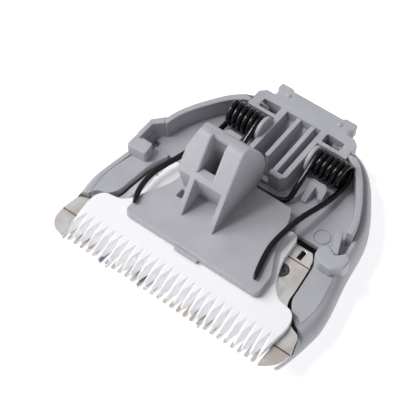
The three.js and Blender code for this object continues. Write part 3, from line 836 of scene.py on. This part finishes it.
def flank():
    """What is taken off the left cheek so that it leans in towards its top."""
    top = carrier_high.z
    outline = [(FORK_LEFT - 2, PLATE_TOP + 2.2), (FORK_LEFT, PLATE_TOP + 2.2), (FORK_LEFT + 0.3, top - 2.6),
               (FORK_LEFT + 1.1, top - 0.25), (FORK_LEFT + 2.2, top + 4), (FORK_LEFT - 2, top + 4)]
    return plate([rounded(outline, 1.2)], -40, -5, 0.01, "front", 0)


def carrier_outline():
    w = carrier_high.x
    right = [(w, carrier_low.y + 0.5, 0.9), (w - 0.2, 12.1, 0.4), (w - 2.4, 16.3, 0.4), (8.8, 22, 0.4),
             (7.8, 24, 0.3)]
    left = [(-x, y, radius) for x, y, radius in reversed(right)]
    return rounded(right + left, 0.3)


def build_carrier():
    mould_slot = [(-7.9, 15.1), (-6.9, 15.1), (-6.9, 16.7), (-7.9, 16.7)]
    base = plate([carrier_outline(), mould_slot], PLATE_LOW, PLATE_TOP, 0.14)
    left = cut(plate([fork_profile()], FORK_LEFT, SLOT_LEFT, 0.3, "side", 3), flank())
    right = plate([fork_profile()], SLOT_RIGHT, FORK_RIGHT, 0.3, "side", 3)
    bridge = plate([bridge_profile()], SLOT_LEFT - 0.6, SLOT_RIGHT + 0.6, 0.1, "side")
    sill = plate([sill_profile()], SLOT_LEFT - 0.6, SLOT_RIGHT + 0.6, 0.1, "side")
    webs = [web(FORK_RIGHT - 0.95, 0.9), web(SLOT_LEFT - 0.9, 0.9)]
    ledge = brick(-2.6, 1.7, carrier_low.y, carrier_low.y + 1.5, PLATE_LOW, PLATE_LOW + 0.6, 0.06)
    return joined(base, left, right, bridge, sill, ledge, *webs)


finish_piece(
    build_carrier(), "carrier_moulding", "cutter_carrier", "cutter", carrier_plastic
)

# %% [markdown]
# ## The outer cover
#
# The cover is a shallow shell with a flat middle to lie on. Stacking the shield outline, drawn in by a
# quarter-circle rule below and a smaller one above, gives the rolled side and the soft lip.

# %% Outer cover
COVER_FLOOR = 1.4
WIDEST = -1.8
SEAT = blade_low.z - 0.1
ROLL = 4.4
LIP_ROUND = 1.45
RIM_TOP = cover_high.z
RIM_TOP_FRONT = 0.9
SLOPE_FROM = 14.2
SLOPE_TO = 26.1
LOBE_CLEARANCE = 0.12
LOBE_REAR = 7.6
BOSS_RADIUS = 2.3
PAD_X = 14.45
PAD_HALF = 0.55


def lip_top(y):
    """The level of the lip: low beside the blade, then rising in an easy slope to the back."""
    share = min(max((y - SLOPE_FROM) / (SLOPE_TO - SLOPE_FROM), 0), 1)
    return RIM_TOP_FRONT + (RIM_TOP - RIM_TOP_FRONT) * share * share * (3 - 2 * share)


def cover_rings():
    rings = []
    for i in range(13):
        angle = math.pi / 2 * i / 12
        level = cover_low.z + (WIDEST - cover_low.z) * (1 - math.cos(angle))
        rings.append(head_outline(ROLL * (1 - math.sin(angle)), level))
    for i in range(1, 9):
        angle = math.pi / 2 * i / 8
        outline = head_outline(LIP_ROUND * (1 - math.cos(angle)))
        rings.append([(x, y, WIDEST + (lip_top(y) - WIDEST) * math.sin(angle)) for x, y in outline])
    return rings


def build_cover():
    floor = cover_low.z + COVER_FLOOR
    hollow = stacked([head_outline(ROLL + 0.4, floor), head_outline(LIP + 0.9, floor + 1),
                      head_outline(LIP, floor + 2.6), head_outline(LIP, 20)])
    shell = cut(stacked(cover_rings()), hollow)
    blade_side = [p for p in comb_side(0.3) if p[1] > 7.5]
    blade_space = plate([mirrored([(21.6, 7.0)] + blade_side)], SEAT, ABOVE, 0)
    right_lobe = [p for p in comb_side(LOBE_CLEARANCE, RIGHT_LOBE_DROP) if p[1] < LOBE_REAR]
    lobe_space = plate([[(10, -2)] + right_lobe + [(10, LOBE_REAR)]], SEAT, ABOVE, 0)
    left_lobe = flipped([p for p in comb_side(LOBE_CLEARANCE) if p[1] < LOBE_REAR])
    left_lobe_space = plate([[(-10, LOBE_REAR)] + left_lobe + [(-10, -2)]], SEAT, ABOVE, 0)
    mouth = brick(-18, 18, -5, 8, SEAT, ABOVE, 0)
    notch = brick(-9.95, 9.95, 36.3, 60, 1.45, ABOVE, 0)
    pads = [brick(x - PAD_HALF, x + PAD_HALF, 5.9, 18.5, floor - 0.5, SEAT, 0.05) for x in (-PAD_X, PAD_X)]
    rib = brick(-15.9, 15.9, 9.3, 10.5, floor - 0.5, SEAT, 0.05)
    boss = [(BOSS_RADIUS, floor - 0.5), (BOSS_RADIUS, SEAT)]
    bosses = [turned_solid(boss, (s * SCREW_AT[0], SCREW_AT[1], 0)) for s in (-1, 1)]
    whole = joined(shell, *pads, rib, *bosses)
    return cut(whole, blade_space, lobe_space, left_lobe_space, mouth, notch, cutter_path())


finish_piece(build_cover(), "cover_shell", "outer_cover", "head", cover_plastic)

# %% [markdown]
# ## The inner frame
#
# The frame does most of the work: it is the tray that the spring sits in, the rim and the two hooks that
# hold the clipper's nose, and the tongue that latches behind. It is put together from plates and walls,
# each with a small radius on its edges. The path that the cutter sweeps is then cut out of it.

# %% Inner frame
FLOOR = 0.5
FLOOR_LOW = -0.6
WING = 0.95
RIM = 4.0
DECK_LOW = RIM - 2.2
POCKET = 4.2
POCKET_INSIDE = 3.3
POCKET_FRONT = 26.8
POCKET_REAR = 36.8
SPRING_MIDDLE = 0.4
COIL_Y = 33.5
COIL_Z = 3.6
OUTSIDE = 40
EJECTOR_AT = (13.9, 23.9, 0)
EJECTOR_OUTER = 1.42
EJECTOR_INNER = 1.22
DISC_FROM = 5.23
DISC_THICKNESS = 0.8
STUB_LENGTH = 3.6
STUB_RADIUS = 1.05


def tray_floor():
    back = [(x, y) for x, y in head_outline(FRAME_MARGIN) if y > FRAME_FRONT]
    return plate([back], FLOOR_LOW, FLOOR, 0.08)


def wing():
    outer = right_side(head_outline(FRAME_MARGIN), 8.4, 22)
    inner = [(x, y) for x, y in comb_side(0.5) if 8.2 < y < 22]
    return plate([outer + [(14.7, 21.9)] + list(reversed(inner))], FLOOR_LOW, WING, 0.12)


def rim():
    outer = right_side(head_outline(FRAME_MARGIN), 23.8)
    inner = right_side(head_outline(FRAME_MARGIN + RIM_WALL), 24.4)
    outline = [(9.0, outer[-1][1] - 0.1)] + list(reversed(outer)) + inner + [(9.0, inner[-1][1])]
    return plate([outline], FLOOR_LOW + 0.2, RIM, 0.2)


def hook_right():
    lump = rounded([(15.3, 19.2), (16.6, 18.2), (18.7, 18.2), (20.3, 19.4), (20.4, 21.3, 0.5),
                    (19.3, 22.3, 0.5), (18.4, 21.2, 0.4), (17.9, 20.8, 0.4), (17.0, 21.4, 0.4),
                    (16.0, 21.7, 0.5), (15.2, 20.8)], 0.8)
    rib = rounded([(17.1, 20.9), (18.2, 21.2), (16.6, 25.2), (15.5, 24.8)], 0.22)
    return [plate([lump], FLOOR_LOW + 0.2, 3.2, 0.34), plate([rib], FLOOR_LOW + 0.2, 2.9, 0.18)]


def hook_left():
    post = rounded([(-20.3, 18.1), (-16.6, 18.3), (-16.9, 20.7), (-20.3, 20.8)], 0.45)
    wall = rounded([(-18.2, 26.1), (-20.0, 24.1), (-20.0, 20.3), (-19.1, 20.3), (-19.1, 23.4),
                    (-17.3, 25.2)], 0.22)
    return [plate([post], FLOOR_LOW + 0.2, 3.3, 0.2), plate([wall], FLOOR_LOW + 0.2, RIM - 0.05, 0.16)]


def deck():
    right = [
        (9.6, 36.3), (9.6, 39.5, 0.5), (8.6, 40.5, 0.5), (7.0, 40.5), (7.0, 41.3), (7.45, 42.0, 0.3),
        (7.4, 43.2, 0.35), (5.2, 43.2, 0.35), (4.8, 42.8, 0.3),
    ]
    left = [(-c[0],) + tuple(c[1:]) for c in reversed(right)]
    window = [(4.5, 37), (7.8, 37), (7.8, 38.8), (4.5, 38.8)]
    windows = [rounded([(s * x, y) for x, y in window], 0.2) for s in (-1, 1)]
    return plate([rounded(right + left, 0.2)] + windows, DECK_LOW, RIM, 0.12)


def pocket_body():
    w = POCKET
    outline = [(-w, POCKET_FRONT, 0.3), (w - 0.8, POCKET_FRONT, 0.5), (w, POCKET_FRONT + 0.9, 0.5), (w, 37.7),
               (-w, 37.7)]
    return plate([rounded(outline, 0.2)], -3.5, RIM, 0.12)


def pocket_cuts():
    w = POCKET_INSIDE
    front, rear = POCKET_FRONT + 0.9, POCKET_REAR + 1.9
    ramp = [(front, -2.6), (front + 5, -2.6), (rear, DECK_LOW + 0.5), (rear, OUTSIDE), (front, OUTSIDE)]
    notch = brick(-w, 1.35, POCKET_FRONT - 1, POCKET_FRONT + 2.8, 1.2, OUTSIDE, 0)
    return [plate([ramp], -w, w, 0, "side"), notch]


def pocket_ribs():
    """The two ribs inside the pocket, the right one longer."""
    return [brick(x, x + 0.8, front, POCKET_REAR + 2.1, -3.0, RIM - 0.25, 0.1)
            for x, front in ((-1.35, POCKET_FRONT + 2.8), (1.35, POCKET_FRONT + 0.2))]


def coil_seat(side):
    """The disc, stub, foot and tie that hold one coil."""
    x = SPRING_MIDDLE + side * DISC_FROM
    back = x - side * DISC_THICKNESS
    rounded_disc = [(2.0, x), (2.2, x - side * 0.06), (2.3, x - side * 0.2), (2.3, back + side * 0.2),
                    (2.2, back + side * 0.06), (2.0, back)]
    stub_end = x + side * STUB_LENGTH
    stub = [(STUB_RADIUS, x - side * 0.2), (STUB_RADIUS, stub_end - side * 0.2), (0.85, stub_end)]
    round_parts = [turned_solid(profile, (0, COIL_Y, COIL_Z), "side") for profile in (rounded_disc, stub)]
    foot = brick(min(x, back), max(x, back), COIL_Y - 1.7, COIL_Y + 1.7, 0, COIL_Z, 0.05)
    tie_end = back + side * 0.3
    tie = brick(min(side * 4, tie_end), max(side * 4, tie_end), COIL_Y - 0.9, COIL_Y + 0.9, 0, COIL_Z, 0.05)
    return round_parts + [foot, tie]


def stop_post():
    """A low arch of two legs that slope down to the floor, closed towards its coil."""
    outline = [(6.8, 27.4, 0.2), (7.7, 27.4, 0.2), (8.0, 29.7, 0.15), (8.9, 29.2, 0.15), (9.1, 28.6, 0.2),
               (9.9, 28.6, 0.2), (9.9, 30.1, 0.4), (9.3, 30.8, 0.3), (6.8, 30.8, 0.3)]
    slope = [(26, 0.3), (27.4, 0.9), (30.0, 3.1), (30.0, 5), (26, 5)]
    return cut(plate([rounded(outline, 0.2)], 0.2, 3.0, 0.1), plate([slope], 6, 11, 0, "side"))


def build_frame():
    walls = both_sides(wing()) + both_sides(rim()) + both_sides(stop_post())
    for post in walls[-2:]:
        post.data.transform(Matrix.Translation((SPRING_MIDDLE, 0, 0)))
    legs = brick(-9.6, 9.6, 36.3, 37.0, 0.2, DECK_LOW + 0.3, 0)
    pip_profile = [(0.46, RIM - 0.1), (0.42, RIM + 0.08), (0.3, RIM + 0.17), (0.1, RIM + 0.2)]
    pips = [turned_solid(pip_profile, (s * 5, 41.5, 0), steps=20) for s in (-1, 1)]
    bay_end = brick(-POCKET, POCKET, POCKET_REAR, POCKET_REAR + 2.05, 0.3, DECK_LOW + 0.3, 0)
    parts = walls + hook_right() + hook_left() + [deck(), legs, pocket_body(), bay_end] + pips
    whole = joined(tray_floor(), *parts, *coil_seat(1), *coil_seat(-1))
    pit = brick(-18.9, -17.3, 21.2, 23.2, FLOOR - 0.9, FLOOR + 1, 0)
    ring = cut(turned_solid([(EJECTOR_OUTER, FLOOR - 0.12), (EJECTOR_OUTER, FLOOR + 1)], EJECTOR_AT),
               turned_solid([(EJECTOR_INNER, FLOOR - 0.5), (EJECTOR_INNER, FLOOR + 2)], EJECTOR_AT))
    return joined(cut(whole, *pocket_cuts(), pit, ring, cutter_path()), *pocket_ribs())


finish_piece(build_frame(), "frame_moulding", "inner_frame", "head", frame_plastic)

# %% [markdown]
# ## The double torsion spring
#
# One wire makes the whole spring: a bridge in front of the pocket, a coil on each stub, and a leg from each
# coil that lies on the carrier. A curve through its bends, with a round bevel, draws it. Its end caps only
# touch the tube, so they are merged with it afterwards.

# %% Spring
WIRE = 0.47
COIL_RADIUS = 1.9
COIL_TURNS = 5.5
COIL_PITCH = 1.0
COIL_INNER = 5.7
BRIDGE_Y = 25.0
RIGHT_LEG = (10.6, 9.9, 9.4, 9.1, 9.1, 9.7, 10.5)
LEFT_LEG = (11.1, 11.6, 12.3, 13.1, 13.6, 13.4, 12.4)


def spring_half(leg_x):
    """The wire from the bridge through one coil to the end of its leg, as (x, y, z) points."""
    bridge_z = FLOOR + WIRE + 0.1
    leg_z = PLATE_TOP + WIRE + 0.1
    points = [(2, BRIDGE_Y, bridge_z), (POCKET - 0.4, BRIDGE_Y + 0.1, bridge_z),
              (COIL_INNER - 0.3, BRIDGE_Y + 1, bridge_z + 0.3), (COIL_INNER, BRIDGE_Y + 2.8, bridge_z + 1.7),
              (COIL_INNER, COIL_Y - 2.2, COIL_Z + COIL_RADIUS - 0.9)]
    steps = round(COIL_TURNS * 16)
    for i in range(steps + 1):
        angle = 2 * math.pi * COIL_TURNS * i / steps
        x = COIL_INNER + COIL_PITCH * COIL_TURNS * i / steps
        points.append((x, COIL_Y + COIL_RADIUS * math.sin(angle), COIL_Z + COIL_RADIUS * math.cos(angle)))
    outer = COIL_INNER + COIL_PITCH * COIL_TURNS
    points.append((outer - 0.1, COIL_Y - 3, COIL_Z - COIL_RADIUS + 0.3))
    levels = [(27.2, leg_z - 0.95), (23.6, leg_z - 0.1)]
    levels += [(y, leg_z) for y in (20.8, 18.2, 15.6, 12.6, 9.8)]
    return points + [(x, y, z) for x, (y, z) in zip(leg_x, levels)]


def build_spring():
    left = [(-x, y, z) for x, y, z in reversed(spring_half(LEFT_LEG))]
    middle = [(0, BRIDGE_Y, FLOOR + WIRE + 0.1)]
    points = [(x + SPRING_MIDDLE, y, z) for x, y, z in left + middle + spring_half(RIGHT_LEG)]
    smoothed = smooth(points, 3)
    curve = bpy.data.curves.new("wire", "CURVE")
    curve.dimensions = "3D"
    spline = curve.splines.new("POLY")
    spline.points.add(len(smoothed) - 1)
    for point, place in zip(spline.points, smoothed):
        point.co = (*place, 1)
    for i, radius in enumerate((0.55, 0.9)):
        spline.points[i].radius = spline.points[-1 - i].radius = radius
    curve.bevel_depth = WIRE
    curve.bevel_resolution = 5
    curve.use_fill_caps = True
    wire = bpy.data.objects.new("wire", curve)
    bpy.context.scene.collection.objects.link(wire)
    return welded(baked(wire))


finish_piece(build_spring(), "spring_wire", "torsion_spring", "head", spring_wire, sharp=60)

# %% [markdown]
# ## Floor and light
#
# A pale floor and soft lights, as in a small product studio. The key stands high on the left and in front,
# which leaves the fork's right cheek in shade. A small lamp makes the glints, a card behind is reflected by
# the steel, and a pale surround fills everything else.

# %% Floor
def floor_material():
    floor = Material("studio_floor", Roughness=0.9, Emission_Strength=0.65)
    tint = floor.mix(floor.noise(40, 2), (0.93, 0.93, 0.94, 1), (0.96, 0.96, 0.965, 1))
    return floor.set(Base_Color=tint, Emission_Color=tint)


bpy.ops.mesh.primitive_plane_add(size=4, location=(0, 0, cad_box[0][2] - 0.00005))
floor = bpy.context.object
floor.name = "studio_floor"
floor.data.materials.append(floor_material())

# %% Light
LIGHTS = (
    ("key", (-0.52, -0.26, 0.52), 0.60, 4.3),
    ("glint", (-0.22, -0.20, 0.62), 0.10, 1.3),
    ("card", (-0.30, 0.40, 0.72), 0.50, 0.32),
)
for name, place, size, power in LIGHTS:
    data = bpy.data.lights.new(name, "AREA")
    data.size = size
    data.energy = power
    lamp = bpy.data.objects.new(name, data)
    bpy.context.scene.collection.objects.link(lamp)
    lamp.location = place
    lamp.rotation_euler = (-Vector(place)).to_track_quat("-Z", "Y").to_euler()

world = bpy.data.worlds.new("studio")
bpy.context.scene.world = world
world.use_nodes = True
background = world.node_tree.nodes["Background"]
background.inputs["Color"].default_value = (0.95, 0.97, 1.0, 1)
background.inputs["Strength"].default_value = 0.30
print(len(LIGHTS), "lamps:", [name for name, place, size, power in LIGHTS])
bpy.context.scene.view_settings.view_transform = "Standard"
